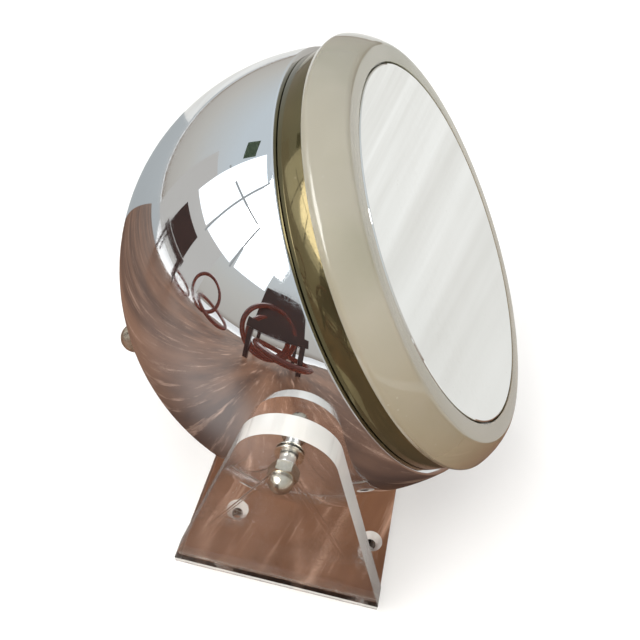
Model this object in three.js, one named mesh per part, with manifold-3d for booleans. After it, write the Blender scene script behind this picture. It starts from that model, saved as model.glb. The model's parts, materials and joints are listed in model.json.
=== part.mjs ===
// Tilting ball mirror: a chromed metal dome with a round mirror in its mouth,
// hung on two pivots between the arms of a bracket bent from one strip of clear acrylic.
// Millimetres. +Z is up, the mirror looks towards -Y, the pivots lie along X.
// The origin is the centre of the bracket's underside.

import * as THREE from 'three';
import { mergeVertices } from 'three/addons/utils/BufferGeometryUtils.js';
import Module from 'manifold-3d';

const wasm = await Module();
wasm.setup();

// ---------------------------------------------------------------- driving sizes
const seat = 0.3;            // gap left between two pieces that rest on each other
const slip = 0.3;            // radial gap between a rod and the hole it passes through
const ballFlat = 0.4;        // the ball's facets lie inside the true sphere by up to this

const ballRadius = 100;      // outside of the dome
const shellWall = 1.5;       // dome sheet thickness
const rimHeight = 27.2;       // from the ball's centre forward to the dome's mouth
const lipWidth = 3.2;        // the rim is turned inwards by this much
const tilt = 35;             // degrees the mirror looks up when stored

const collarWall = 2;        // dark band between dome and bezel
const collarLength = 10.4;

const bezelSide = 2.8;       // height of the bezel's outer edge
const bezelDepth = 14.3;     // from the bezel's rear face to its front face
const bezelChamfer = 8.8;    // how far the sloping face runs inwards
const bezelFlat = 8.2;       // width of the flat front face, from the slope in to the mirror's recess
const bezelOverhang = 1.5;   // bezel's rear edge beyond the collar
const bezelFlare = 0.8;      // outer edge widens by this towards the ridge
const bezelBulge = 0.8;      // crown of the sloping face
const spigotHeight = 2;      // step on the bezel's back that centres the collar
const ledgeWidth = 9;        // ledge that carries the backing plate

const mirrorThick = 3;
const mirrorBevel = 1;
const mirrorGap = 0.7;       // dark line between the glass and the bezel
const backingThick = 2;

const rodRadius = 3;         // all studs and the tie rod
const nutAcross = 10;        // across flats
const nutHeight = 5;
const washerRadius = 8;
const washerThick = 1.5;

const hubRadius = 16;
const hubThick = 3;
const bossRadius = 7;
const bossLength = 6;

const rosetteRadius = 11;
const rosetteThick = 3;
const stemRadius = 5;
const stemLength = 17;
const knobRadius = 8;
const knobLength = 16;

const stripThick = 9.5;      // bracket's acrylic
const stripWidth = 95;       // its base, along Y
const splay = 4.2;           // degrees each arm leans outwards
const bendRadius = 5;        // inside of both bends
const armGap = 1.8;          // ball to arm
const floorGap = 3.1;        // ball to base plate
const armTopRadius = 19.5;   // rounded arm end, centred on the pivot
const frontScrewInset = { x: 20, y: 8 };      // mirror side: in from the end of the flat base and from its edge
const rearScrewInset = { x: 26.5, y: 19.8 };  // rear side, drilled further in
const screwRadius = 2.75;
const sinkRadius = 5.5;
const sinkDepth = 3;

const capHex = 4.6;          // hexagon part of a cap nut
const capHeight = 10.5;      // whole cap nut
const thrustRadius = 5.6;    // washer between ball and arm
const thrustThick = 0.9;

const around = 64;           // facets round the large turned pieces
const aroundSmall = 24;      // and round the small ones
const ballSteps = 15;        // facets from the dome's back to its mouth

// ---------------------------------------------------------------- sizes that follow
const innerRadius = ballRadius - shellWall;
const rimRadius = Math.sqrt(ballRadius ** 2 - rimHeight ** 2);
const holeRadius = rodRadius + slip;
const lean = THREE.MathUtils.degToRad(splay);
const armInner = (ballRadius + armGap) / Math.cos(lean);      // arm faces where the pivot crosses them
const armOuter = armInner + stripThick / Math.cos(lean);
const pivotHeight = ballRadius + floorGap + stripThick;
const bendOuter = stripThick + bendRadius;
const bendCentre = armOuter - (bendOuter + Math.sin(lean) * (pivotHeight - bendOuter)) / Math.cos(lean);

const collarRadius = Math.sqrt(innerRadius ** 2 - rimHeight ** 2) - 2 * slip;
const collarRear = rimHeight + seat;
const collarFront = collarRear + collarLength;
const bezelRear = collarFront + seat;
const bezelFront = bezelRear + bezelDepth;
const spigotRadius = collarRadius - collarWall - slip;
const bezelRearRadius = collarRadius + bezelOverhang;
const ridgeRadius = bezelRearRadius + bezelFlare;
const ridgeHeight = bezelRear + bezelSide;
const shoulderRadius = ridgeRadius - bezelChamfer;
const recessRadius = shoulderRadius - bezelFlat;
const mirrorRadius = recessRadius - mirrorGap;
const backingFront = bezelFront - mirrorThick - seat;
const ledge = backingFront - backingThick - seat;
const hubFront = ledge - seat;
const hubRear = hubFront - hubThick - bossLength;

// ---------------------------------------------------------------- helpers
const V = (x, y) => new THREE.Vector2(x, y);

// A turned solid about Y. The profile runs anticlockwise with radius across and height up.
function turned(profile, facets = aroundSmall) {
  return new THREE.LatheGeometry(profile, facets);
}

// A tube from height y0 up to y1.
function tube(inner, outer, y0, y1, facets) {
  const edge = [V(inner, y0), V(outer, y0), V(outer, y1), V(inner, y1), V(inner, y0)];
  return turned(edge, facets);
}

// A plain round bar.
function bar(radius, y0, y1, facets) {
  return turned([V(0, y0), V(radius, y0), V(radius, y1), V(0, y1)], facets);
}

// Points along a circular arc about (cx, cy), angles in degrees.
function arc(cx, cy, radius, from, to, steps) {
  return Array.from({ length: steps + 1 }, (_, i) => {
    const a = THREE.MathUtils.degToRad(from + ((to - from) * i) / steps);
    return V(cx + radius * Math.cos(a), cy + radius * Math.sin(a));
  });
}

// A closed solid ready for adding and subtracting.
function solid(geometry) {
  const bare = new THREE.BufferGeometry();
  bare.setAttribute('position', geometry.getAttribute('position'));
  bare.setIndex(geometry.getIndex());
  const merged = mergeVertices(bare, 1e-4);
  const index = merged.getIndex().array;
  const triangles = [];
  for (let i = 0; i < index.length; i += 3) {
    const [a, b, c] = [index[i], index[i + 1], index[i + 2]];
    if (a !== b && b !== c && c !== a) triangles.push(a, b, c);
  }
  return new wasm.Manifold(new wasm.Mesh({
    numProp: 3,
    vertProperties: new Float32Array(merged.getAttribute('position').array),
    triVerts: new Uint32Array(triangles),
  }));
}

// Back from a solid to a three.js geometry.
function shape(result) {
  const mesh = result.getMesh();
  const geometry = new THREE.BufferGeometry();
  geometry.setAttribute('position', new THREE.BufferAttribute(mesh.vertProperties, 3));
  geometry.setIndex(new THREE.BufferAttribute(mesh.triVerts, 1));
  return geometry;
}

function hexagon(acrossFlats) {
  const corner = acrossFlats / 2 / Math.cos(Math.PI / 6);
  return Array.from({ length: 6 }, (_, i) => {
    const a = (i * Math.PI) / 3;
    return V(corner * Math.cos(a), corner * Math.sin(a));
  });
}

// A hexagonal prism standing on height y0, its corners eased by a turned envelope.
function hexBody(y0, height, ease) {
  const prism = new THREE.ExtrudeGeometry(new THREE.Shape(hexagon(nutAcross)), {
    depth: height, bevelEnabled: false,
  });
  prism.rotateX(-Math.PI / 2);
  prism.translate(0, y0, 0);
  const flat = nutAcross / 2;
  const corner = flat / Math.cos(Math.PI / 6) + 0.1;
  const top = y0 + height;
  const envelope = turned([
    V(0, y0), V(flat, y0), V(corner, y0 + ease), V(corner, top - ease), V(flat, top), V(0, top),
  ]);
  return solid(prism).intersect(solid(envelope));
}

// A plain hexagon nut with its threaded hole as a plain bore.
function hexNut(y0) {
  const body = hexBody(y0, nutHeight, 0.5);
  return shape(body.subtract(solid(bar(holeRadius, y0 - 1, y0 + nutHeight + 1))));
}

// ---------------------------------------------------------------- materials
const finish = (color, roughness, metalness, opacity = 1) =>
  new THREE.MeshStandardMaterial({
    color, roughness, metalness, opacity, transparent: opacity < 1,
  });

const looks = {
  chrome: () => finish(0xd4d8da, 0.05, 1),
  nickel: () => finish(0xcfc6b4, 0.15, 1),
  steel: () => finish(0x9b9d9e, 0.4, 1),
  bronze: () => finish(0x5f5533, 0.15, 0.9),
  smoke: () => finish(0xb3a98f, 0.08, 0, 0.85),
  silvered: () => finish(0xe6e8e6, 0.02, 1),
  clear: () => finish(0xeef3f2, 0.05, 0, 0.35),
};

function piece(name, geometry, look) {
  const mesh = new THREE.Mesh(geometry, looks[look]());
  mesh.name = name;
  return mesh;
}

// ---------------------------------------------------------------- the bracket
// One strip: its bent profile in XZ, cut to the arms' outline in YZ.
function bracketProfile() {
  const top = pivotHeight + armTopRadius + 5;
  const out = armOuter + (top - pivotHeight) * Math.tan(lean);
  const inn = out - stripThick / Math.cos(lean);
  const left = 180 + splay;
  const right = 360 - splay;
  return new THREE.Shape([
    ...arc(-bendCentre, bendOuter, bendOuter, left, 270, 6),
    ...arc(bendCentre, bendOuter, bendOuter, 270, right, 6),
    V(out, top), V(inn, top),
    ...arc(bendCentre, bendOuter, bendRadius, right, 270, 6),
    ...arc(-bendCentre, bendOuter, bendRadius, 270, left, 6),
    V(-inn, top), V(-out, top),
  ]);
}

// Straight sides up to the bend, then two tapers that meet the rounded end on a tangent.
function armOutline() {
  const half = stripWidth / 2;
  const drop = pivotHeight - bendOuter;
  const reach = Math.hypot(half, drop);
  const swing = Math.acos(armTopRadius / reach) - Math.atan2(drop, half);
  const start = THREE.MathUtils.radToDeg(swing);
  return new THREE.Shape([
    V(-half, 0), V(half, 0), V(half, bendOuter),
    ...arc(0, pivotHeight, armTopRadius, start, 180 - start, 20),
    V(-half, bendOuter),
  ]);
}

function bracket() {
  const strip = new THREE.ExtrudeGeometry(bracketProfile(), {
    depth: stripWidth + 10, bevelEnabled: false,
  });
  strip.translate(0, 0, -stripWidth / 2 - 5);
  strip.rotateX(Math.PI / 2);
  const reach = armOuter + armTopRadius;
  const blank = new THREE.ExtrudeGeometry(armOutline(), {
    depth: 2 * reach, bevelEnabled: false,
  });
  blank.translate(0, 0, -reach);
  blank.rotateX(Math.PI / 2);
  blank.rotateZ(Math.PI / 2);
  let body = solid(strip).intersect(solid(blank));

  const pivotBore = bar(holeRadius, -armOuter - 5, armOuter + 5);
  pivotBore.rotateZ(Math.PI / 2);
  pivotBore.translate(0, 0, pivotHeight);
  body = body.subtract(solid(pivotBore));

  for (const [inset, y] of [
    [frontScrewInset, frontScrewInset.y - stripWidth / 2],
    [rearScrewInset, stripWidth / 2 - rearScrewInset.y],
  ]) {
    for (const x of [inset.x - bendCentre, bendCentre - inset.x]) {
      const sink = turned([
        V(0, -1), V(screwRadius, -1), V(screwRadius, stripThick - sinkDepth),
        V(sinkRadius, stripThick), V(sinkRadius, stripThick + 1), V(0, stripThick + 1),
      ]);
      sink.rotateX(Math.PI / 2);
      sink.translate(x, y, 0);
      body = body.subtract(solid(sink));
    }
  }
  return piece('bracket', shape(body), 'clear');
}

// ---------------------------------------------------------------- the head
// Everything here is built round the ball's centre with +Y out through the mirror.
function domeShell() {
  const deg = THREE.MathUtils.radToDeg;
  const outerStart = deg(Math.acos(holeRadius / ballRadius));
  const innerStart = deg(Math.acos(holeRadius / innerRadius));
  const under = rimHeight - shellWall;
  const ease = 0.5;
  const outerEnd = deg(Math.asin((rimHeight - ease) / ballRadius));
  const innerEnd = deg(Math.asin(under / innerRadius));
  const profile = [
    ...arc(0, 0, ballRadius, -outerStart, outerEnd, ballSteps),
    V(rimRadius - ease, rimHeight),
    V(rimRadius - lipWidth, rimHeight), V(rimRadius - lipWidth, under),
    ...arc(0, 0, innerRadius, innerEnd, -innerStart, ballSteps),
  ];
  profile.push(profile[0].clone());
  const pivotBore = bar(holeRadius, -ballRadius - 5, ballRadius + 5);
  pivotBore.rotateZ(Math.PI / 2);
  return piece('dome_shell', shape(solid(turned(profile, around)).subtract(solid(pivotBore))), 'chrome');
}

function bezelRing() {
  const bore = recessRadius - ledgeWidth;
  const slope = V(shoulderRadius - ridgeRadius, bezelFront - ridgeHeight);
  const out = V(slope.y, -slope.x).normalize();
  const crown = [0.25, 0.5, 0.75].map((t) => {
    const lift = bezelBulge * 4 * t * (1 - t);
    return V(ridgeRadius + slope.x * t + out.x * lift, ridgeHeight + slope.y * t + out.y * lift);
  });
  const back = bezelRear - spigotHeight;
  return turned([
    V(bore, back), V(spigotRadius, back), V(spigotRadius, bezelRear),
    V(bezelRearRadius, bezelRear), V(ridgeRadius, ridgeHeight), ...crown,
    V(shoulderRadius, bezelFront), V(recessRadius, bezelFront),
    V(recessRadius, ledge), V(bore, ledge), V(bore, back),
  ], around);
}

function mirrorGlass() {
  const rear = bezelFront - mirrorThick;
  return turned([
    V(0, rear), V(mirrorRadius, rear), V(mirrorRadius, bezelFront - mirrorBevel / 2),
    V(mirrorRadius - mirrorBevel, bezelFront), V(0, bezelFront),
  ], around);
}

// The flange and boss that take the front end of the tie rod.
function hubFlange() {
  const step = hubFront - hubThick;
  return turned([
    V(holeRadius, hubRear), V(bossRadius, hubRear), V(bossRadius, step), V(hubRadius, step),
    V(hubRadius, hubFront), V(holeRadius, hubFront), V(holeRadius, hubRear),
  ]);
}

function knob(tip, base) {
  const dome = arc(0, tip + knobRadius, knobRadius, -90, 0, 6);
  const bore = base - 0.7 * knobLength;
  return turned([
    ...dome, V(knobRadius, base - 3), V(stemRadius + 1, base),
    V(holeRadius, base), V(holeRadius, bore), V(0, bore),
  ]);
}

// Flat inner washer and nut that grip the shell from inside, out along the given group's +Y.
function innerGrip(group, suffix) {
  const face = Math.sqrt(innerRadius ** 2 - washerRadius ** 2) - seat - ballFlat;
  const washer = tube(holeRadius, washerRadius, face - washerThick, face);
  group.add(piece(`inner_washer${suffix}`, washer, 'steel'));
  group.add(piece(`inner_nut${suffix}`, hexNut(face - washerThick - seat - nutHeight), 'steel'));
  return face - washerThick - seat - nutHeight;
}

// The rod that draws the mirror, bezel and collar back against the dome's rim.
function tieRod() {
  const group = new THREE.Group();
  group.name = 'rear_end';
  group.rotation.x = Math.PI;
  innerGrip(group, '_rear');
  const rosette = ballRadius + seat;
  const stem = rosette + rosetteThick + seat;
  const base = stem + stemLength + seat;
  group.add(piece('rear_rosette', turned([
    V(holeRadius, rosette), V(rosetteRadius, rosette), V(rosetteRadius, rosette + 1),
    V(stemRadius + 1, rosette + rosetteThick), V(holeRadius, rosette + rosetteThick),
    V(holeRadius, rosette),
  ]), 'nickel'));
  group.add(piece('rear_stem', tube(holeRadius, stemRadius, stem, stem + stemLength), 'nickel'));
  const handle = knob(-base - knobLength, -base);
  handle.rotateX(Math.PI);
  group.add(piece('rear_knob', handle, 'nickel'));
  const rod = bar(rodRadius, -hubFront + seat, base + 0.7 * knobLength - 2 * seat);
  group.add(piece('tie_rod', rod, 'steel'));
  return group;
}

// One side's stud with everything strung on it, outwards along +Y.
function pivot(side) {
  const group = new THREE.Group();
  group.name = `pivot_${side}`;
  const inside = innerGrip(group, `_${side}`);
  const thrust = ballRadius + seat;
  const nutCorner = nutAcross / 2 / Math.cos(Math.PI / 6);
  const cap = armOuter + nutCorner * Math.tan(lean) + seat;   // the nut's lower edge clears the leaning arm
  const end = cap + capHeight;
  const washer = tube(holeRadius, thrustRadius, thrust, thrust + thrustThick);
  group.add(piece(`thrust_washer_${side}`, washer, 'nickel'));

  const domeRadius = nutAcross / 2 - 0.3;
  const crown = turned([
    V(0, cap + 1), V(domeRadius, cap + 1), V(domeRadius, end - domeRadius - 0.6),
    ...arc(0, end - domeRadius, domeRadius, 0, 90, 5),
  ]);
  const bore = bar(holeRadius, cap - 1, end - 2.4);
  const capNut = hexBody(cap, capHex, 0.5).add(solid(crown)).subtract(solid(bore));
  group.add(piece(`cap_nut_${side}`, shape(capNut), 'nickel'));
  group.add(piece(`pivot_stud_${side}`, bar(rodRadius, inside - 2, end - 2.4 - seat), 'steel'));
  return group;
}

function head() {
  const group = new THREE.Group();
  group.name = 'head';
  group.add(domeShell());
  group.add(piece('collar_band',
    tube(collarRadius - collarWall, collarRadius, collarRear, collarFront, around), 'bronze'));
  group.add(piece('bezel_ring', bezelRing(), 'smoke'));
  group.add(piece('mirror_glass', mirrorGlass(), 'silvered'));
  group.add(piece('mirror_backing',
    bar(mirrorRadius, backingFront - backingThick, backingFront, around), 'steel'));
  group.add(piece('hub_flange', hubFlange(), 'steel'));
  group.add(piece('hub_locknut', hexNut(hubRear - seat - nutHeight), 'steel'));
  group.add(tieRod());

  const left = pivot('left');
  left.rotation.z = Math.PI / 2;
  const right = pivot('right');
  right.rotation.z = -Math.PI / 2;
  group.add(left, right);

  group.position.z = pivotHeight;
  group.rotation.x = Math.PI - THREE.MathUtils.degToRad(tilt);
  return group;
}

const mirror = new THREE.Group();
mirror.name = 'ball_mirror';
mirror.add(bracket(), head());

export default mirror;
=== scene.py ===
# %% Load the fixed frame
import json
import math

import bmesh
import bpy
from mathutils import Matrix, Vector


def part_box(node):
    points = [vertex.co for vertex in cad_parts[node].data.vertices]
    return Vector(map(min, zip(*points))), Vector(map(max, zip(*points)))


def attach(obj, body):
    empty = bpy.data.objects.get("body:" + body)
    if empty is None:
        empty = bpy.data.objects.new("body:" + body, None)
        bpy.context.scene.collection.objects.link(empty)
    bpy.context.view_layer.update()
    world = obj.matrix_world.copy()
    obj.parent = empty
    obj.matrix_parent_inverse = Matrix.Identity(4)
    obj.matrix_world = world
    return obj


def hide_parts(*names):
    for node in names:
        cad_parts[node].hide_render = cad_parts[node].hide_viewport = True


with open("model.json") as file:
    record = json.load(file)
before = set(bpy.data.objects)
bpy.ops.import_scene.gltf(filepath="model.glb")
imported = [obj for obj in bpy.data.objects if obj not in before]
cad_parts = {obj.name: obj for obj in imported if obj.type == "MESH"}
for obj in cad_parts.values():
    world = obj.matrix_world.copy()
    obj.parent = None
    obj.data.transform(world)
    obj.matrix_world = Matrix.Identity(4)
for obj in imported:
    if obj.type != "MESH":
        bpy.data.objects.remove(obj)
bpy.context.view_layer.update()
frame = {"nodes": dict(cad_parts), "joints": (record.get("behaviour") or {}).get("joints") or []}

# %% [markdown]
# The object is a shaving mirror set in the mouth of a chromed ball. The ball tilts on two
# pivots between the arms of a bracket bent from one strip of clear acrylic.
#
# Every turned piece is built standing upright on the Z axis and then laid onto its real axis,
# so two lines matter most: the pivot, along X, and the mirror's own axis, which leans back.
# Both are read from the CAD frame, and so are all the sizes.

# %% Read the two axes and the sizes from the frame
pivot = Vector(frame["joints"][0]["pos_m"])
lowest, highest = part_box("mirror_glass")
forward = ((lowest + highest) / 2 - pivot).normalized()


def along(node, axis):
    """Lowest and highest place of a CAD node along an axis through the pivot, and its radii."""
    points = [v.co - pivot for v in frame["nodes"][node].data.vertices]
    heights = [p.dot(axis) for p in points]
    radii = [(p - axis * h).length for p, h in zip(points, heights)]
    return min(heights), max(heights), min(radii), max(radii)


ball_radius = round(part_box("dome_shell")[1].x, 3)
_, rim_height, _, _ = along("dome_shell", forward)
print("pivot", tuple(round(x, 4) for x in pivot), "tilt", round(math.degrees(math.asin(forward.z)), 1))
print("ball radius", ball_radius, "rim height", round(rim_height, 4))

# %% [markdown]
# Four small helpers do what the hand does again and again: deselect everything before a new
# primitive, pick faces or edges by their place, apply a modifier, and lay a finished piece
# onto its axis with its place baked into the mesh.

# %% Helpers for selecting, applying and placing
def clear_selection():
    if bpy.context.object and bpy.context.object.mode != "OBJECT":
        bpy.ops.object.mode_set(mode="OBJECT")
    bpy.ops.object.select_all(action="DESELECT")


def only(piece):
    clear_selection()
    piece.select_set(True)
    bpy.context.view_layer.objects.active = piece


def pick(piece, kind, test):
    """In edit mode, select the faces, edges or verts whose centre passes the test."""
    bpy.ops.mesh.select_mode(type={"faces": "FACE", "edges": "EDGE", "verts": "VERT"}[kind])
    bpy.ops.mesh.select_all(action="DESELECT")
    mesh = bmesh.from_edit_mesh(piece.data)
    for item in getattr(mesh, kind):
        if kind == "faces":
            chosen = test(item.calc_center_median(), item.normal)
        elif kind == "edges":
            chosen = test((item.verts[0].co + item.verts[1].co) / 2, item)
        else:
            chosen = test(item.co, item)
        item.select_set(chosen)
    mesh.select_flush_mode()
    bmesh.update_edit_mesh(piece.data)


def apply_modifier(piece, kind, **settings):
    only(piece)
    modifier = piece.modifiers.new(kind.title(), kind)
    for key, value in settings.items():
        setattr(modifier, key, value)
    bpy.ops.object.modifier_apply(modifier=modifier.name)


def lay_onto(piece, axis, start=pivot):
    """Turn the piece's own Z axis onto the given axis, move it, and bake that into its mesh."""
    only(piece)
    piece.rotation_mode = "QUATERNION"
    piece.rotation_quaternion = Vector((0, 0, 1)).rotation_difference(axis)
    piece.location = start
    bpy.ops.object.transform_apply(location=True, rotation=True, scale=True)


def named(name):
    piece = bpy.context.object
    piece.name = name
    piece.data.name = name
    return piece


# %% [markdown]
# Rings, knobs and rosettes come off a lathe. The same can be done here: one vertex is walked
# along the outline with extrude, and spin sweeps that outline round the axis.

# %% A lathe made of extrude and spin
def turn_on_lathe(name, outline, steps=128):
    """outline is a list of (radius, height) points; the last one joins the first if they agree."""
    clear_selection()
    bpy.ops.mesh.primitive_plane_add(size=0.01)
    piece = named(name)
    bpy.ops.object.mode_set(mode="EDIT")
    bpy.ops.mesh.select_mode(type="VERT")
    bpy.ops.mesh.select_all(action="SELECT")
    bpy.ops.mesh.merge(type="CENTER")
    bpy.ops.transform.translate(value=(outline[0][0], 0, outline[0][1]))
    for (r0, h0), (r1, h1) in zip(outline, outline[1:]):
        bpy.ops.mesh.extrude_vertices_move(
            TRANSFORM_OT_translate={"value": (r1 - r0, 0, h1 - h0)})
    bpy.ops.mesh.select_all(action="SELECT")
    bpy.ops.mesh.spin(steps=steps, angle=2 * math.pi, center=(0, 0, 0), axis=(0, 0, 1))
    bpy.ops.mesh.select_all(action="SELECT")
    bpy.ops.mesh.remove_doubles(threshold=1e-6)
    bpy.ops.mesh.delete_loose()
    bpy.ops.mesh.select_all(action="SELECT")
    bpy.ops.mesh.normals_make_consistent(inside=False)
    bpy.ops.object.mode_set(mode="OBJECT")
    return piece


def rounded(corner, before, after, radius, steps=4):
    """Points that round the corner of an outline between its two neighbours."""
    c, a, b = Vector(corner), Vector(before), Vector(after)
    start = c + (a - c).normalized() * radius
    end = c + (b - c).normalized() * radius
    return [tuple(start.lerp(c, t).lerp(c.lerp(end, t), t))
            for t in (i / steps for i in range(steps + 1))]


def soften(outline, radius):
    """Round every corner of a closed outline of (radius, height) points."""
    ring = outline[:-1]
    soft = []
    for i, corner in enumerate(ring):
        soft += rounded(corner, ring[i - 1], ring[(i + 1) % len(ring)], radius)
    return soft + soft[:1]


def smooth(piece, angle=40):
    only(piece)
    bpy.ops.object.shade_smooth_by_angle(angle=math.radians(angle))


# %% [markdown]
# The dome is spun from one sheet of metal and plated. A UV sphere is the right start, because
# its poles fall on the mirror's axis: one is cut away at the mouth and the other is hidden
# under the rear rosette. The cut edge is drawn inwards in two short steps for the rolled rim,
# and Solidify gives the sheet its thickness on the inside, so the outside keeps its size.

# %% Model the dome
clear_selection()
bpy.ops.mesh.primitive_uv_sphere_add(segments=160, ring_count=80, radius=ball_radius)
dome = named("ball_dome")
roll = 0.0006
bpy.ops.object.mode_set(mode="EDIT")
bpy.ops.mesh.select_all(action="SELECT")
bpy.ops.mesh.bisect(plane_co=(0, 0, rim_height - roll), plane_no=(0, 0, 1), clear_outer=True)
mouth = math.sqrt(ball_radius**2 - (rim_height - roll) ** 2)
pick(dome, "verts", lambda co, v: abs(co.z - rim_height + roll) < 1e-5)
bpy.ops.mesh.select_mode(type="EDGE")
for inward, rise in ((0.0001, 0.0003), (0.0003, 0.0002), (0.0005, 0.0001), (0.0022, 0.0)):
    bpy.ops.mesh.extrude_region_move(TRANSFORM_OT_translate={"value": (0, 0, rise)})
    bpy.ops.transform.resize(value=((mouth - inward) / mouth,) * 2 + (1,), center_override=(0, 0, 0))
    mouth -= inward
bpy.ops.object.mode_set(mode="OBJECT")
apply_modifier(dome, "SOLIDIFY", thickness=0.0015, offset=-1)
lay_onto(dome, forward)
smooth(dome, 50)
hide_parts("dome_shell")
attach(dome, "head")
print("dome faces", len(dome.data.polygons))

# %% [markdown]
# Behind the bezel runs a dark band, a plain tube with crisp but not sharp ends. A cylinder
# without caps gets its wall from Solidify and its soft ends from a narrow bevel.

# %% Model the dark band
band_rear, band_front, band_inner, band_outer = along("collar_band", forward)
clear_selection()
bpy.ops.mesh.primitive_cylinder_add(vertices=192, radius=band_outer, depth=band_front - band_rear,
                                    end_fill_type="NOTHING")
band = named("dark_band")
apply_modifier(band, "SOLIDIFY", thickness=band_outer - band_inner, offset=-1)
apply_modifier(band, "BEVEL", width=0.0003, segments=2, limit_method="ANGLE", angle_limit=0.8)
lay_onto(band, forward, pivot + forward * (band_rear + band_front) / 2)
smooth(band)
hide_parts("collar_band")
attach(band, "head")
print("band", round(band_outer, 4), "wide", round(band_front - band_rear, 4))

# %% [markdown]
# The bezel is a thick turned ring of smoky acrylic: a low side, a rounded ridge, a long face
# that slopes in with a slight crown, and a flat front round the glass. Its outline is measured
# on the CAD ring, and only the corners are softened, as polishing does.

# %% Model the bezel
def ring_outline(node, axis):
    """The outline of a turned CAD ring: its vertices that lie in one half plane through the axis."""
    points = [v.co - pivot for v in frame["nodes"][node].data.vertices]
    side = axis.cross(Vector((1, 0, 0))).normalized()
    seen = {}
    for p in points:
        across = p - axis * p.dot(axis)
        if abs(across.dot(side)) < 1e-5 and across.x > 0:
            seen[(round(across.length, 5), round(p.dot(axis), 5))] = True
    return list(seen)


corners = ring_outline("bezel_ring", forward)
front_height = max(h for _, h in corners)
recess_radius = min(r for r, h in corners if h > front_height - 1e-5)
bore_radius = min(r for r, h in corners)
ledge_height = max(h for r, h in corners if r < bore_radius + 1e-5)
back_height = min(h for _, h in corners)
spigot_radius = max(r for r, h in corners if h < back_height + 1e-5)
outside = sorted((c for c in corners if c[0] > recess_radius + 0.001 and c[1] > band_front + 0.0002
                  and abs(c[0] - spigot_radius) > 1e-4), key=lambda c: c[1])
bezel_outline = (rounded(outside[0], (outside[0][0] - 0.005, outside[0][1]), outside[1], 0.0005)
                 + rounded(outside[1], outside[0], outside[2], 0.0011, 6)
                 + outside[2:-1]
                 + rounded(outside[-1], outside[-2], (recess_radius, front_height), 0.0014, 6)
                 + rounded((recess_radius, front_height), outside[-1], (recess_radius, ledge_height), 0.0003)
                 + [(recess_radius, ledge_height), (bore_radius, ledge_height), (bore_radius, back_height),
                    (spigot_radius, back_height), (spigot_radius, outside[0][1])])
bezel = turn_on_lathe("smoky_bezel", bezel_outline + bezel_outline[:1], steps=192)
lay_onto(bezel, forward)
smooth(bezel, 35)
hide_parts("bezel_ring")
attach(bezel, "head")
print("bezel outline", len(bezel_outline), "front at", round(front_height, 4),
      "recess", round(recess_radius, 4))

# %% [markdown]
# The glass is a flat disc with a ground edge. It starts as a cylinder, its front edge is
# bevelled in edit mode, and an inset keeps the flat face apart from the ground edge, so that
# the shading stays flat right up to it.

# %% Model the mirror glass
glass_rear, glass_front, _, glass_radius = along("mirror_glass", forward)
clear_selection()
bpy.ops.mesh.primitive_cylinder_add(vertices=192, radius=glass_radius, depth=glass_front - glass_rear)
glass = named("mirror_disc")
bpy.ops.object.mode_set(mode="EDIT")
half = (glass_front - glass_rear) / 2
pick(glass, "edges", lambda co, e: all(v.co.z > half - 1e-5 for v in e.verts))
bpy.ops.mesh.bevel(offset=0.0007, segments=2, affect="EDGES")
pick(glass, "faces", lambda co, n: n.z > 0.99)
bpy.ops.mesh.inset(thickness=0.0003)
bpy.ops.object.mode_set(mode="OBJECT")
lay_onto(glass, forward, pivot + forward * (glass_rear + glass_front) / 2)
smooth(glass, 20)
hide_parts("mirror_glass")
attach(glass, "head")
print("glass radius", round(glass_radius, 4))

# %% [markdown]
# The bracket is bent from one strip. A cube is flattened to the straight part of the base, each
# end face is spun round its bend, as the heated strip is folded round a bar, and then extruded
# up its arm, which leans out a little. The arms' tapered outline is cut afterwards, as the saw
# does: the convex hull of a foot and a round end is intersected with the bent strip.

# %% Bend the strip
bracket_low, bracket_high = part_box("bracket")
arm_points = [v.co for v in frame["nodes"]["bracket"].data.vertices if v.co.x > 0]
strip_width = bracket_high.y - bracket_low.y
flat_end = max(p.x for p in arm_points if p.z < 1e-5)
strip_thick = min(p.z for p in arm_points
                  if p.x < flat_end + 1e-4 and p.z > 1e-4 and abs(p.y) > strip_width / 2 - 1e-4)
top_outer = max(arm_points, key=lambda p: p.x)
foot = [p for p in arm_points if abs(abs(p.y) - strip_width / 2) < 1e-5 and p.x > flat_end + 0.001]
bend_top = max(p.z for p in foot)
foot_outer = max(p.x for p in foot)
lean = math.atan2(top_outer.x - foot_outer, top_outer.z - bend_top)
bend_radius = 0.0145
clear_selection()
bpy.ops.mesh.primitive_cube_add(size=1, location=(0, 0, strip_thick / 2))
bracket = named("acrylic_bracket")
bracket.scale = (2 * flat_end, strip_width + 0.01, strip_thick)
bpy.ops.object.transform_apply(location=True, rotation=True, scale=True)
arm_length = 0.14
for side in (1, -1):
    only(bracket)
    bpy.ops.object.mode_set(mode="EDIT")
    pick(bracket, "faces", lambda co, n: n.x * side > 0.99 and co.z < strip_thick)
    bpy.ops.mesh.spin(steps=14, angle=math.radians(90) - lean, center=(side * flat_end, 0, bend_radius),
                      axis=(0, side, 0))
    bpy.ops.mesh.extrude_region_move(TRANSFORM_OT_translate={
        "value": (side * math.sin(lean) * arm_length, 0, math.cos(lean) * arm_length)})
    bpy.ops.object.mode_set(mode="OBJECT")
print("strip", round(strip_thick, 4), "x", round(strip_width, 4), "lean", round(math.degrees(lean), 2))
print("bracket after bending", [round(x, 4) for x in bracket.dimensions])

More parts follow.
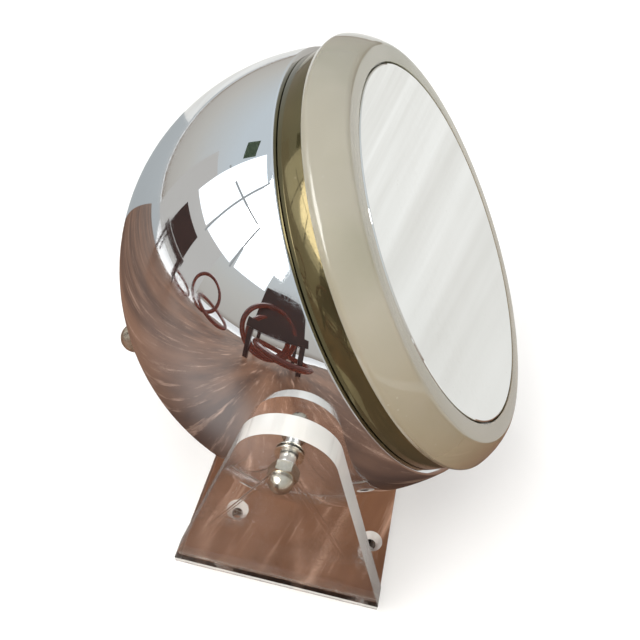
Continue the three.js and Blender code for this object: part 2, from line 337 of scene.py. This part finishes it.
# %% Cut the arms' outline
arm_top_radius = bracket_high.z - pivot.z
clear_selection()
bpy.ops.mesh.primitive_cylinder_add(vertices=144, radius=arm_top_radius, depth=0.4,
                                    location=pivot, rotation=(0, math.pi / 2, 0))
outline = named("arm_outline")
bpy.ops.object.transform_apply(location=True, rotation=True, scale=True)
clear_selection()
bpy.ops.mesh.primitive_cube_add(size=1, location=(0, 0, bend_radius / 2 - 0.005))
foot_block = named("foot_block")
foot_block.scale = (0.4, strip_width, bend_radius + 0.01)
bpy.ops.object.transform_apply(location=True, rotation=True, scale=True)
outline.select_set(True)
bpy.context.view_layer.objects.active = outline
bpy.ops.object.join()
bpy.ops.object.mode_set(mode="EDIT")
bpy.ops.mesh.select_all(action="SELECT")
bpy.ops.mesh.convex_hull()
bpy.ops.mesh.normals_make_consistent(inside=False)
bpy.ops.object.mode_set(mode="OBJECT")
apply_modifier(bracket, "BOOLEAN", operation="INTERSECT", object=outline, solver="EXACT")
bpy.data.objects.remove(outline)
print("bracket cut", [round(x, 4) for x in bracket.dimensions])

# %% [markdown]
# The pivot holes and the four countersunk screw holes are drilled with cutters. Their places
# are read from the CAD bracket: the rims of the countersinks are the only vertices on top of
# the base away from its edges.

# %% Drill the holes
def rim_of_sink(depth):
    """Middle and radius of the +X countersink towards the mirror (-1) or towards the back (1)."""
    rim = [p for p in arm_points if abs(p.z - strip_thick) < 1e-5 and p.y * depth > 0
           and abs(p.y) < strip_width / 2 - 0.001 and p.x < flat_end - 0.001]
    low, high = [tuple(f(p[i] for p in rim) for i in (0, 1)) for f in (min, max)]
    return (low[0] + high[0]) / 2, (low[1] + high[1]) / 2, (high[0] - low[0]) / 2


sinks = [(side * x, y, radius) for side in (-1, 1) for x, y, radius in (rim_of_sink(-1), rim_of_sink(1))]
sink_radius = sinks[0][2]
screw_radius = sink_radius / 2
sink_depth = 0.003
countersink = turn_on_lathe("countersink", [
    (0, -0.002), (screw_radius, -0.002), (screw_radius, strip_thick - sink_depth),
    (sink_radius, strip_thick), (sink_radius, strip_thick + 0.002), (0, strip_thick + 0.002)], steps=48)
for x, y, _ in sinks:
    countersink.location = (x, y, 0)
    bpy.context.view_layer.update()
    apply_modifier(bracket, "BOOLEAN", operation="DIFFERENCE", object=countersink, solver="EXACT")
bpy.data.objects.remove(countersink)
clear_selection()
bpy.ops.mesh.primitive_cylinder_add(vertices=48, radius=0.0033, depth=0.4, location=pivot,
                                    rotation=(0, math.pi / 2, 0))
bore = named("pivot_bore")
apply_modifier(bracket, "BOOLEAN", operation="DIFFERENCE", object=bore, solver="EXACT")
bpy.data.objects.remove(bore)
apply_modifier(bracket, "BEVEL", width=0.0006, segments=3, limit_method="ANGLE",
               angle_limit=math.radians(50))
smooth(bracket, 30)
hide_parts("bracket")
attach(bracket, "stand")
print("screw holes at", [(round(x, 4), round(y, 4)) for x, y, _ in sinks],
      "faces", len(bracket.data.polygons))

# %% [markdown]
# Each pivot ends in a domed cap nut. Its hexagon is a six sided cylinder whose corners a turned
# envelope eases off, and its crown comes off the lathe. One nut is made and copied.

# %% Model the cap nuts
left, right = Vector((-1, 0, 0)), Vector((1, 0, 0))
nut_seat, nut_end, _, nut_corner = along("cap_nut_left", left)
nut_flat = nut_corner * math.cos(math.pi / 6)
hex_height = 0.0046
crown_radius = nut_flat - 0.0003
crown_top = nut_end - nut_seat
clear_selection()
bpy.ops.mesh.primitive_cylinder_add(vertices=6, radius=nut_corner, depth=hex_height,
                                    location=(0, 0, hex_height / 2))
nut = named("cap_nut_near")
bpy.ops.object.transform_apply(location=True, rotation=True, scale=True)
ease = 0.0005
envelope = turn_on_lathe("envelope", [
    (0, 0), (nut_flat, 0), (nut_corner + 0.0001, ease), (nut_corner + 0.0001, hex_height - ease),
    (nut_flat, hex_height), (0, hex_height)], steps=96)
apply_modifier(nut, "BOOLEAN", operation="INTERSECT", object=envelope, solver="EXACT")
bpy.data.objects.remove(envelope)
waist = crown_top - crown_radius - 0.0002
dome_points = [(crown_radius * math.cos(math.radians(a)),
                waist + (crown_top - waist) * math.sin(math.radians(a)))
               for a in range(0, 90, 6)]
crown = turn_on_lathe("crown", [(0, 0.001), (crown_radius, 0.001), (crown_radius, hex_height + 0.0001)]
                      + dome_points + [(0, crown_top)], steps=96)
apply_modifier(nut, "BOOLEAN", operation="UNION", object=crown, solver="EXACT")
bpy.data.objects.remove(crown)
apply_modifier(nut, "BEVEL", width=0.00015, segments=2, limit_method="ANGLE", angle_limit=math.radians(35))
only(nut)
bpy.ops.object.duplicate()
far_nut = named("cap_nut_far")
for piece, axis, node in ((nut, left, "cap_nut_left"), (far_nut, right, "cap_nut_right")):
    lay_onto(piece, axis, pivot + axis * nut_seat)
    smooth(piece, 30)
    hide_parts(node)
    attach(piece, "head")
print("cap nut", round(2 * nut_flat, 4), "across flats,", round(crown_top, 4), "high")

# %% [markdown]
# A thin washer keeps each arm off the chrome. It is a lathe job with all corners softened, and
# the second one is a copy with its own mesh.

# %% Model the thrust washers
thrust_rear, thrust_front, thrust_bore, thrust_radius = along("thrust_washer_left", left)
thickness = thrust_front - thrust_rear
washer = turn_on_lathe("thrust_washer_near", soften(
    [(thrust_bore, 0), (thrust_radius, 0), (thrust_radius, thickness), (thrust_bore, thickness),
     (thrust_bore, 0)], 0.0002), steps=96)
only(washer)
bpy.ops.object.duplicate()
far_washer = named("thrust_washer_far")
for piece, axis, node in ((washer, left, "thrust_washer_left"), (far_washer, right, "thrust_washer_right")):
    lay_onto(piece, axis, pivot + axis * thrust_rear)
    smooth(piece, 40)
    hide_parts(node)
    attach(piece, "head")
print("thrust washer", round(thrust_radius, 4))

# %% [markdown]
# At the back a rosette, a stem and a rounded knob are drawn onto the tie rod. All three are
# turned: the rosette swells towards its rim, the stem has a groove near each end, and the knob
# has a soft dome and a waist where it meets the stem.

# %% Model the rear rosette, stem and knob
backward = -forward
rosette_base, rosette_top, rod_hole, rosette_radius = along("rear_rosette", backward)
stem_base, stem_top, _, stem_radius = along("rear_stem", backward)
knob_base, knob_top, _, knob_radius = along("rear_knob", backward)
height = rosette_top - rosette_base
swell = [(stem_radius + 0.001 + (rosette_radius - stem_radius - 0.001) * math.cos(math.radians(a)) ** 0.8,
          0.0008 + (height - 0.0008) * math.sin(math.radians(a))) for a in range(0, 91, 10)]
rosette = turn_on_lathe("knob_rosette", [(rod_hole, 0), (rosette_radius, 0)] + swell
                        + [(rod_hole, height), (rod_hole, 0)], steps=96)
length = stem_top - stem_base
groove = 0.0005
stem_outline = [(rod_hole, 0), (stem_radius, 0), (stem_radius, 0.0018), (stem_radius - groove, 0.0022),
                (stem_radius - groove, 0.0028), (stem_radius, 0.0032), (stem_radius, length - 0.0032),
                (stem_radius - groove, length - 0.0028), (stem_radius - groove, length - 0.0022),
                (stem_radius, length - 0.0018), (stem_radius, length), (rod_hole, length), (rod_hole, 0)]
stem = turn_on_lathe("knob_stem", stem_outline, steps=96)
tall = knob_top - knob_base
shoulder = [(knob_radius - 0.002 * (1 - math.sin(math.radians(a))),
             0.003 * (1 - math.cos(math.radians(a))) + 0.0004)
            for a in range(0, 91, 15)]
cap = [(knob_radius * math.cos(math.radians(a)), tall - knob_radius + knob_radius * math.sin(math.radians(a)))
       for a in range(0, 90, 6)]
knob = turn_on_lathe("rear_knob_cap", [(rod_hole, 0), (knob_radius - 0.0024, 0)] + shoulder + cap
                     + [(0, tall), (0, 0.7 * tall), (rod_hole, 0.7 * tall), (rod_hole, 0)], steps=96)
for piece, start, node in ((rosette, rosette_base, "rear_rosette"), (stem, stem_base, "rear_stem"),
                           (knob, knob_base, "rear_knob")):
    lay_onto(piece, backward, pivot + backward * start)
    smooth(piece, 35)
    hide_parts(node)
    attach(piece, "head")
print("knob", round(2 * knob_radius, 4), "across, stands out to", round(knob_top, 4))

# %% [markdown]
# Now the finishes. Handling leaves the same marks on every polished surface: a thin haze of
# dust and finger grease, pin-head specks, and hairline scratches from wiping. Each effect is a
# shader node group, built once and placed in each material with its own amount.

# %% Build the shared effects
def new_group(name, inputs, outputs):
    group = bpy.data.node_groups.new(name, "ShaderNodeTree")
    for label, value in inputs:
        socket = group.interface.new_socket(label, in_out="INPUT", socket_type="NodeSocketFloat")
        socket.default_value = value
    for label in outputs:
        group.interface.new_socket(label, in_out="OUTPUT", socket_type="NodeSocketFloat")
    return group, group.nodes.new("NodeGroupInput"), group.nodes.new("NodeGroupOutput")


def join(tree, source, target):
    tree.links.new(source, target)


def math_node(tree, operation, first, second, clamp=False):
    node = tree.nodes.new("ShaderNodeMath")
    node.operation, node.use_clamp = operation, clamp
    for socket, value in zip(node.inputs, (first, second)):
        if isinstance(value, (int, float)):
            socket.default_value = value
        else:
            join(tree, value, socket)
    return node.outputs[0]


def noise(tree, place, scale, detail=3.0, roughness=0.5, stretch=None):
    if stretch:
        mapping = tree.nodes.new("ShaderNodeMapping")
        mapping.inputs["Scale"].default_value = stretch
        join(tree, place, mapping.inputs["Vector"])
        place = mapping.outputs[0]
    node = tree.nodes.new("ShaderNodeTexNoise")
    node.inputs["Scale"].default_value = scale
    node.inputs["Detail"].default_value = detail
    node.inputs["Roughness"].default_value = roughness
    join(tree, place, node.inputs["Vector"])
    return node.outputs["Fac"]


def window(tree, value, low, high):
    """0 below low, 1 above high."""
    node = tree.nodes.new("ShaderNodeMapRange")
    node.inputs["From Min"].default_value, node.inputs["From Max"].default_value = low, high
    join(tree, value, node.inputs["Value"])
    return node.outputs[0]


# Haze: broad soft patches, broken up by a finer grain.
haze, haze_in, haze_out = new_group("handling_haze", [("Amount", 0.5)], ["Mask"])
place = haze.nodes.new("ShaderNodeTexCoord").outputs["Object"]
patches = window(haze, noise(haze, place, 14, 4), 0.42, 0.72)
grain = window(haze, noise(haze, place, 320, 2), 0.35, 0.75)
mixed = math_node(haze, "MULTIPLY", patches, math_node(haze, "ADD", 0.4, grain))
join(haze, math_node(haze, "MULTIPLY", mixed, haze_in.outputs["Amount"], clamp=True), haze_out.inputs["Mask"])

# Specks: the middles of a few cells of a fine Voronoi pattern.
specks, specks_in, specks_out = new_group("dust_specks", [("Amount", 0.5)], ["Mask"])
place = specks.nodes.new("ShaderNodeTexCoord").outputs["Object"]
cells = specks.nodes.new("ShaderNodeTexVoronoi")
cells.inputs["Scale"].default_value = 260
join(specks, place, cells.inputs["Vector"])
dots = window(specks, math_node(specks, "SUBTRACT", 0.13, cells.outputs["Distance"]), 0.0, 0.05)
few = window(specks, noise(specks, place, 45, 2), 0.56, 0.66)
join(specks, math_node(specks, "MULTIPLY", math_node(specks, "MULTIPLY", dots, few),
                       specks_in.outputs["Amount"], clamp=True), specks_out.inputs["Mask"])

# Hairlines: thin crests of a noise that is drawn out in one direction, twice over.
hairlines, hair_in, hair_out = new_group("wiping_hairlines", [("Amount", 0.5)], ["Height"])
place = hairlines.nodes.new("ShaderNodeTexCoord").outputs["Object"]
strokes = []
for stretch in ((1, 14, 9), (11, 2, 16)):
    crest = math_node(hairlines, "ABSOLUTE", math_node(
        hairlines, "SUBTRACT", noise(hairlines, place, 38, 5, 0.7, stretch), 0.5), 0)
    strokes.append(window(hairlines, math_node(hairlines, "SUBTRACT", 0.012, crest), 0.0, 0.012))
both = math_node(hairlines, "MAXIMUM", *strokes)
rare = window(hairlines, noise(hairlines, place, 22, 2), 0.5, 0.62)
join(hairlines, math_node(hairlines, "MULTIPLY", math_node(hairlines, "MULTIPLY", both, rare),
                          hair_in.outputs["Amount"], clamp=True), hair_out.inputs["Height"])
print("effects", [g.name for g in (haze, specks, hairlines)])

# %% [markdown]
# A finish is then a short recipe. The colour drifts a little between two tones, haze and specks
# raise the roughness and dull the colour where they lie, and the hairlines go into a Bump node.
# A finish may also turn to a third tone towards its lower side: a painted reflection of what lies below it.
# Numbers that are the same all over are set on the Principled shader itself.

# %% The recipe for a polished finish
def effect(tree, group, amount):
    node = tree.nodes.new("ShaderNodeGroup")
    node.node_tree = group
    node.inputs["Amount"].default_value = amount
    return node.outputs[0]


def blend_colour(tree, mask, first, second):
    node = tree.nodes.new("ShaderNodeMix")
    node.data_type = "RGBA"
    for socket, value in ((node.inputs[6], first), (node.inputs[7], second)):
        if isinstance(value, tuple):
            socket.default_value = (*value, 1)
        else:
            join(tree, value, socket)
    join(tree, mask, node.inputs[0])
    return node.outputs[2]


def polished(name, tone, second_tone, dust_tone=(0.62, 0.60, 0.56), painted_reflection_tone=None,
             drift=9.0, drift_edge=(0.35, 0.65),
             shine=0.03, dull=0.25, haze_amount=0.5, speck_amount=0.5, hair_amount=0.5,
             bump=0.02, bump_distance=0.0001, **fixed):
    material = bpy.data.materials.new(name)
    material.use_nodes = True
    tree = material.node_tree
    shader = tree.nodes["Principled BSDF"]
    for label, value in fixed.items():
        shader.inputs[label.replace("_", " ")].default_value = value
    place = tree.nodes.new("ShaderNodeTexCoord").outputs["Object"]
    tones = blend_colour(tree, window(tree, noise(tree, place, drift, 3), *drift_edge), tone, second_tone)
    # painted reflection: towards the lower side the colour turns to a third tone, standing for what is
    # reflected from below
    if painted_reflection_tone:
        height = tree.nodes.new("ShaderNodeSeparateXYZ")
        join(tree, place, height.inputs[0])
        tones = blend_colour(tree, window(tree, height.outputs["Z"], 0.19, 0.07), tones, painted_reflection_tone)
    dust = effect(tree, haze, haze_amount)
    dots = effect(tree, specks, speck_amount)
    marks = math_node(tree, "MAXIMUM", math_node(tree, "MULTIPLY", dust, 0.35), dots)
    join(tree, blend_colour(tree, marks, tones, dust_tone), shader.inputs["Base Color"])
    rough = math_node(tree, "MULTIPLY_ADD", math_node(tree, "MAXIMUM", dust, dots), dull - shine)
    rough.node.inputs[2].default_value = shine
    join(tree, rough, shader.inputs["Roughness"])
    raised = tree.nodes.new("ShaderNodeBump")
    raised.inputs["Strength"].default_value = bump
    raised.inputs["Distance"].default_value = bump_distance
    relief = math_node(tree, "SUBTRACT", dots, effect(tree, hairlines, hair_amount))
    join(tree, relief, raised.inputs["Height"])
    join(tree, raised.outputs[0], shader.inputs["Normal"])
    return material


def finish_with(material, *pieces):
    for piece in pieces:
        piece.data.materials.clear()
        piece.data.materials.append(material)


# %% [markdown]
# The dome is chrome plate: a nearly perfect mirror, a touch blue, with a breath of haze and a
# few specks. The dark band has the same polish on an olive bronze ground, a fifth of it plain
# colour so that it never goes black. The nuts, washers and the rear knob are nickel, warmer and
# rounder in the highlight, and the parts inside the ball are plain zinc plated steel.

# %% Metal finishes
chrome = polished("chrome_plate", (0.84, 0.86, 0.88), (0.80, 0.83, 0.86), shine=0.015, dull=0.14,
                  haze_amount=0.22, speck_amount=0.55, hair_amount=0.5, bump=0.05, Metallic=1.0)
bronze = polished("olive_bronze", (0.135, 0.110, 0.052), (0.170, 0.138, 0.068), (0.26, 0.22, 0.14), drift=24,
                  shine=0.05, dull=0.3, haze_amount=0.5, speck_amount=0.4, bump=0.06, Metallic=0.8)
nickel = polished("warm_nickel", (0.74, 0.68, 0.58), (0.62, 0.55, 0.44), (0.42, 0.37, 0.3), drift=260,
                  shine=0.17, dull=0.4, haze_amount=0.8, speck_amount=0.5, bump=0.12, Metallic=1.0)
zinc = polished("zinc_plate", (0.58, 0.60, 0.62), (0.47, 0.49, 0.52), drift=120, shine=0.28, dull=0.55,
                haze_amount=0.8, speck_amount=0.4, bump=0.2, Metallic=1.0)
silver = polished("silvered_glass", (0.93, 0.94, 0.93), (0.91, 0.925, 0.915), shine=0.012, dull=0.09,
                  haze_amount=0.3, speck_amount=0.25, hair_amount=0.3, bump=0.02, Metallic=1.0,
                  Coat_Weight=0.3)
finish_with(chrome, dome)
finish_with(bronze, band)
finish_with(nickel, nut, far_nut, washer, far_washer, rosette, stem, knob)
finish_with(silver, glass)
inner_parts = [n for n in frame["nodes"] if n.startswith(("inner_", "hub_", "pivot_stud"))
               or n in ("tie_rod", "mirror_backing")]
for node in inner_parts:
    part = frame["nodes"][node]
    for slot in part.material_slots:
        slot.material = zinc
    if not part.material_slots:
        part.data.materials.append(zinc)
print("zinc plated:", sorted(inner_parts))

# %% [markdown]
# The bezel is a smoky champagne acrylic, milky rather than clear. Half of the light goes through
# and half is scattered back in the acrylic's own colour, under a hard clear coat that keeps the
# reflections crisp. Slow cloudy drift stands for the uneven tint of old acrylic. Low down the colour
# turns browner, a painted reflection of the brown table below, which stays fixed to the ring as it tilts.

# %% Smoky acrylic
# painted reflection: the bezel turns browner low down, for the brown table reflected in it
smoke = polished("smoky_champagne_acrylic", (0.58, 0.54, 0.43), (0.37, 0.35, 0.22), (0.68, 0.65, 0.57),
                 painted_reflection_tone=(0.36, 0.27, 0.145), drift=13, drift_edge=(0.4, 0.7), shine=0.06, dull=0.22,
                 haze_amount=0.5, speck_amount=0.35, hair_amount=0.6, bump=0.06, Metallic=0.0,
                 Transmission_Weight=0.5, IOR=1.5, Coat_Weight=0.9, Coat_Roughness=0.03)
finish_with(smoke, bezel)

# %% [markdown]
# The bracket is clear acrylic. Its broad faces are polished and let everything through, with a
# few wiping marks. Its sawn and flamed edges and the countersinks are slightly frosted, so they catch
# the light and stand out nearly white. The outsides of the two bends are clear and polished too, but
# they get the same near-white frosted finish as a painted highlight of the light they catch. The faces
# are told apart by where they lie and where they look.

# %% Clear acrylic, its frosted edges and the painted highlights on its bends
acrylic_ior = 1.49
clear = polished("clear_acrylic", (0.985, 0.985, 0.98), (0.975, 0.98, 0.97), (0.9, 0.9, 0.88),
                 shine=0.0, dull=0.12, haze_amount=0.16, speck_amount=0.25, hair_amount=0.9, bump=0.12,
                 Transmission_Weight=1.0, IOR=acrylic_ior)
# the near-white cream finish is the frosted edges' own colour and also a painted highlight on the bends
frosted_and_highlight = polished("frosted_edge_and_painted_highlight", (1.0, 0.985, 0.95), (0.97, 0.95, 0.90), (0.98, 0.97, 0.94), drift=60,
                   shine=0.07, dull=0.22, haze_amount=0.5, speck_amount=0.0, bump=0.03,
                   Transmission_Weight=0.35, IOR=acrylic_ior, Coat_Weight=0.5)
finish_with(clear, bracket)
bracket.data.materials.append(frosted_and_highlight)
bend_top = 1.75 * strip_thick
frosted_and_highlight_faces = 0
for face in bracket.data.polygons:
    n, c = face.normal, face.center
    sawn = abs(n.x) < 0.2 and (abs(n.y) > 0.5 or c.z > pivot.z)
    sunk = strip_thick - sink_depth < c.z < strip_thick - 1e-4 and any(
        math.hypot(c.x - x, c.y - y) < sink_radius for x, y, _ in sinks)
    # painted highlight: the outer faces of the bends are clear acrylic and take the frosted finish to stand
    # for the light they catch
    painted_bend_highlight = n.x * c.x > 0 and abs(n.x) > 0.25 and abs(c.x) > flat_end and c.z < bend_top
    if sawn or sunk or painted_bend_highlight:
        face.material_index = 1
        frosted_and_highlight_faces += 1
print("frosted faces", frosted_and_highlight_faces, "of", len(bracket.data.polygons))

# %% [markdown]
# The stage. The camera sees a plain pale floor and a pale background. Polished metal and clear
# plastic show their surroundings more than themselves, so the studio also has a walnut table top,
# a bright window with bars, a wall, dark stools and bent wood rings, a small dark card and pale
# floor cards. They are hidden from the camera and appear only in reflections and through the
# acrylic. The table glows a little, and more strongly behind the acrylic, so that the bracket's
# base does not sink into the ball's shadow.

# %% Stage materials
def stage_material(name, build):
    material = bpy.data.materials.new(name)
    material.use_nodes = True
    tree = material.node_tree
    build(tree, tree.nodes["Principled BSDF"])
    return material


def glowing(name, colour, strength):
    def build(tree, shader):
        shader.inputs["Base Color"].default_value = (0, 0, 0, 1)
        shader.inputs["Emission Color"].default_value = (*colour, 1)
        shader.inputs["Emission Strength"].default_value = strength
    return stage_material(name, build)


def matt(name, colour, roughness=0.6):
    def build(tree, shader):
        shader.inputs["Base Color"].default_value = (*colour, 1)
        shader.inputs["Roughness"].default_value = roughness
    return stage_material(name, build)


def walnut(tree, shader):
    place = tree.nodes.new("ShaderNodeTexCoord").outputs["Object"]
    figure = noise(tree, place, 3.2, 5, 0.6, (1.2, 9, 1))
    lines = noise(tree, place, 14, 4, 0.6, (0.8, 16, 1))
    tones = blend_colour(tree, window(tree, figure, 0.32, 0.7), (0.052, 0.020, 0.009), (0.20, 0.098, 0.055))
    wood = blend_colour(tree, window(tree, lines, 0.56, 0.72), tones, (0.34, 0.21, 0.15))
    join(tree, wood, shader.inputs["Base Color"])
    join(tree, wood, shader.inputs["Emission Color"])
    ray = tree.nodes.new("ShaderNodeLightPath")
    through = math_node(tree, "MULTIPLY_ADD", ray.outputs["Is Transmission Ray"], 1.5)
    through.node.inputs[2].default_value = 0.12
    join(tree, through, shader.inputs["Emission Strength"])
    shader.inputs["Roughness"].default_value = 0.38


def rippled(tree, shader):
    place = tree.nodes.new("ShaderNodeTexCoord").outputs["Object"]
    waves = noise(tree, place, 5, 4, 0.6, (4.5, 1.0, 1))
    join(tree, blend_colour(tree, window(tree, waves, 0.3, 0.7), (0.66, 0.65, 0.62), (0.83, 0.83, 0.81)),
         shader.inputs["Emission Color"])
    shader.inputs["Emission Strength"].default_value = 1.0
    shader.inputs["Base Color"].default_value = (0, 0, 0, 1)


table_walnut = stage_material("walnut_table", walnut)
pale_cloth = stage_material("rippled_pale_cloth", rippled)
pale = matt("pale_floor", (0.93, 0.92, 0.91), 0.8)
stool_wood = matt("dark_stool", (0.030, 0.010, 0.007), 0.3)
white_glow = glowing("window_glow", (0.93, 0.97, 1.0), 1.8)
plaster = glowing("plaster_wall", (0.80, 0.77, 0.73), 0.66)
floor_beyond = glowing("floor_beyond", (0.60, 0.64, 0.66), 0.62)
red_brown = matt("red_brown_chair", (0.085, 0.018, 0.010), 0.25)
bar_grey = (0.62, 0.64, 0.64)
print("stage materials ready")

# %% [markdown]
# Flat things on the floor are thin slabs, each a little above the one it hides: pale floor, floor
# beyond the table, pale cloth, table. Cards stand round the ball at an azimuth and an elevation.

# %% Stage pieces
def reflected_only(piece):
    piece.visible_camera = False
    piece.visible_shadow = False
    piece.visible_diffuse = False


def box(name, size, location, material, turn=0.0):
    clear_selection()
    bpy.ops.mesh.primitive_cube_add(size=1, location=location, rotation=(0, 0, turn))
    piece = named(name)
    piece.scale = size
    finish_with(material, piece)
    return piece


def facing(name, width, height, azimuth, elevation, distance, material):
    """A card that faces the ball from a direction; azimuth 0 is the mirror's side, 90 the right."""
    a, e = math.radians(azimuth), math.radians(elevation)
    away = Vector((math.sin(a) * math.cos(e), -math.cos(a) * math.cos(e), math.sin(e)))
    clear_selection()
    bpy.ops.mesh.primitive_plane_add(size=1, location=pivot + away * distance)
    card = named(name)
    card.scale = (width, height, 1)
    card.rotation_mode = "QUATERNION"
    card.rotation_quaternion = (-away).to_track_quat("Z", "Y")
    finish_with(material, card)
    reflected_only(card)


box("pale_floor", (9, 9, 0.01), (0, 0, -0.0075), pale)
table_turn, cloth_turn = math.radians(-14.7), math.radians(-43)
for slab in (box("floor_beyond", (3.2, 6, 0.0004), (1.42, 0.10, -0.0018), floor_beyond, table_turn),
             box("pale_cloth", (4.4, 5.0, 0.0002), (1.68, -1.57, -0.0012), pale_cloth, cloth_turn),
             box("walnut_table", (1.75, 2.4, 0.0004), (-0.78, 0.12, -0.0006), table_walnut, table_turn)):
    reflected_only(slab)
window_lift = 37
for name, azimuth, width in (("window_pane_a", 185, 0.62), ("window_pane_b", 206, 0.70),
                             ("window_pane_c", 229, 0.66)):
    facing(name, width, 1.15, azimuth, window_lift, 2.0, white_glow)
for name, azimuth, width, height, lift in (("mullion_a", 195.5, 0.035, 1.2, window_lift),
                                           ("mullion_b", 217.5, 0.035, 1.2, window_lift),
                                           ("transom", 207, 2.0, 0.03, 41)):
    facing(name, width, height, azimuth, lift, 1.9, glowing(name, bar_grey, 0.55))
facing("small_picture", 0.24, 0.17, 166, 44, 1.8, matt("picture_green", (0.035, 0.06, 0.03), 0.5))
facing("plaster_wall", 2.2, 1.5, 186, 14, 2.6, plaster)
facing("ceiling_glow", 3.2, 3.2, 60, 78, 2.4, glowing("ceiling_glow", (0.88, 0.95, 1.0), 0.72))


def stool(name, azimuth, distance, height, width, lift):
    """A low chair: a seat at a height, a back above it and four legs, the whole raised by lift."""
    a = math.radians(azimuth)
    centre = Vector((math.sin(a) * distance, -math.cos(a) * distance, lift))
    reflected_only(box(name + "_seat", (width, width, 0.05), centre + Vector((0, 0, height)), stool_wood, a))
    reflected_only(box(name + "_back", (width, 0.04, 0.24), centre + Vector((0, 0, height + 0.16)),
                       stool_wood, a))
    for dx in (-1, 1):
        for dy in (-1, 1):
            corner = Matrix.Rotation(a, 3, "Z") @ Vector((dx, dy, 0)) * width * 0.42
            reflected_only(box(f"{name}_leg_{dx}_{dy}", (0.025, 0.025, height),
                               centre + corner + Vector((0, 0, height / 2)), stool_wood, a))


stool("stool_far", 187, 1.25, 0.26, 0.38, -0.08)
stool("stool_near", 252, 0.85, 0.22, 0.34, -0.02)


def hoop(name, azimuth, distance, height, radius, lean, turn):
    """A bent wood ring, like the back of a cafe chair."""
    a = math.radians(azimuth)
    clear_selection()
    bpy.ops.mesh.primitive_torus_add(
        major_radius=radius, minor_radius=0.017, major_segments=64, minor_segments=10,
        location=(math.sin(a) * distance, -math.cos(a) * distance, height),
        rotation=(math.radians(lean), 0, math.radians(turn)))
    ring = named(name)
    finish_with(red_brown, ring)
    reflected_only(ring)


for number, (azimuth, distance, height, radius, lean, turn) in enumerate((
        (-112, 0.80, 0.20, 0.17, 80, 60), (-112, 0.82, 0.17, 0.13, 75, 65), (-104, 0.70, 0.09, 0.15, 12, 0),
        (-140, 1.15, 0.10, 0.17, 20, 0), (-146, 1.20, 0.20, 0.16, 78, 40), (-160, 1.30, 0.06, 0.14, 15, 0))):
    hoop(f"bentwood_{number}", azimuth, distance, height, radius, lean, turn)

# %% [markdown]
# Light: a pale world that is plain white to the camera and to matt surfaces, and graded in
# reflections, cool above and warm at the horizon. A large soft box stands on the window's side,
# and a softer fill on the camera's side brightens the acrylic's edges and shows in no reflection.

# %% World and lights
world = bpy.data.worlds.new("studio")
bpy.context.scene.world = world
world.use_nodes = True
tree = world.node_tree
tree.nodes.clear()
direction = tree.nodes.new("ShaderNodeTexCoord").outputs["Generated"]
split = tree.nodes.new("ShaderNodeSeparateXYZ")
join(tree, direction, split.inputs[0])
ramp = tree.nodes.new("ShaderNodeValToRGB")
for position, colour in ((0.48, (0.25, 0.20, 0.16)), (0.505, (0.50, 0.47, 0.43)), (0.60, (0.56, 0.54, 0.50)),
                         (0.80, (0.60, 0.65, 0.68))):
    stop = ramp.color_ramp.elements.new(position)
    stop.color = (*colour, 1)
ramp.color_ramp.elements.remove(ramp.color_ramp.elements[0])
ramp.color_ramp.elements.remove(ramp.color_ramp.elements[-1])
join(tree, window(tree, split.outputs["Z"], -1, 1), ramp.inputs[0])
seen = tree.nodes.new("ShaderNodeBackground")
seen.inputs["Color"].default_value = (1, 1, 1, 1)
mirrored = tree.nodes.new("ShaderNodeBackground")
join(tree, ramp.outputs[0], mirrored.inputs["Color"])
ray = tree.nodes.new("ShaderNodeLightPath")
choose = tree.nodes.new("ShaderNodeMixShader")
plain_white = math_node(tree, "MAXIMUM", ray.outputs["Is Camera Ray"], ray.outputs["Is Diffuse Ray"])
join(tree, plain_white, choose.inputs[0])
join(tree, mirrored.outputs[0], choose.inputs[1])
join(tree, seen.outputs[0], choose.inputs[2])
output = tree.nodes.new("ShaderNodeOutputWorld")
join(tree, choose.outputs[0], output.inputs[0])

softbox = bpy.data.lights.new("softbox", "AREA")
softbox.size, softbox.energy, softbox.color = 1.2, 22, (1.0, 0.98, 0.95)
fill = bpy.data.lights.new("fill", "AREA")
fill.size, fill.energy, fill.color = 1.0, 9, (1.0, 0.97, 0.92)
for light, place in ((softbox, (-0.9, 0.9, 1.5)), (fill, (-1.3, -0.7, 0.8))):
    holder = bpy.data.objects.new(light.name, light)
    holder.location = place
    holder.rotation_euler = (pivot - holder.location).to_track_quat("-Z", "Y").to_euler()
    holder.visible_glossy = light is softbox
    bpy.context.scene.collection.objects.link(holder)
bpy.context.scene.view_settings.view_transform = "Standard"
print("world and softbox ready")

# %% [markdown]
# The camera stands close, on the left and above, so near parts look large. It is rolled a
# little, as a hand-held camera is.

# %% Camera
camera_data = bpy.data.cameras.new("camera")
camera_data.sensor_width = 36
camera_data.lens = 43.26
camera_data.clip_start, camera_data.clip_end = 0.01, 50
camera = bpy.data.objects.new("camera", camera_data)
bpy.context.scene.collection.objects.link(camera)
back = Vector((-0.71983, -0.08337, 0.68913)).normalized()
right_side = Vector((0.20479, -0.97408, 0.09607))
right_side = (right_side - back * right_side.dot(back)).normalized()
up = back.cross(right_side)
camera.matrix_world = Matrix.Translation(pivot + Vector((-0.27256, -0.02397, 0.22891))) @ Matrix(
    (right_side, up, back)).transposed().to_4x4()
bpy.context.scene.camera = camera
print("camera at", [round(x, 3) for x in camera.location])
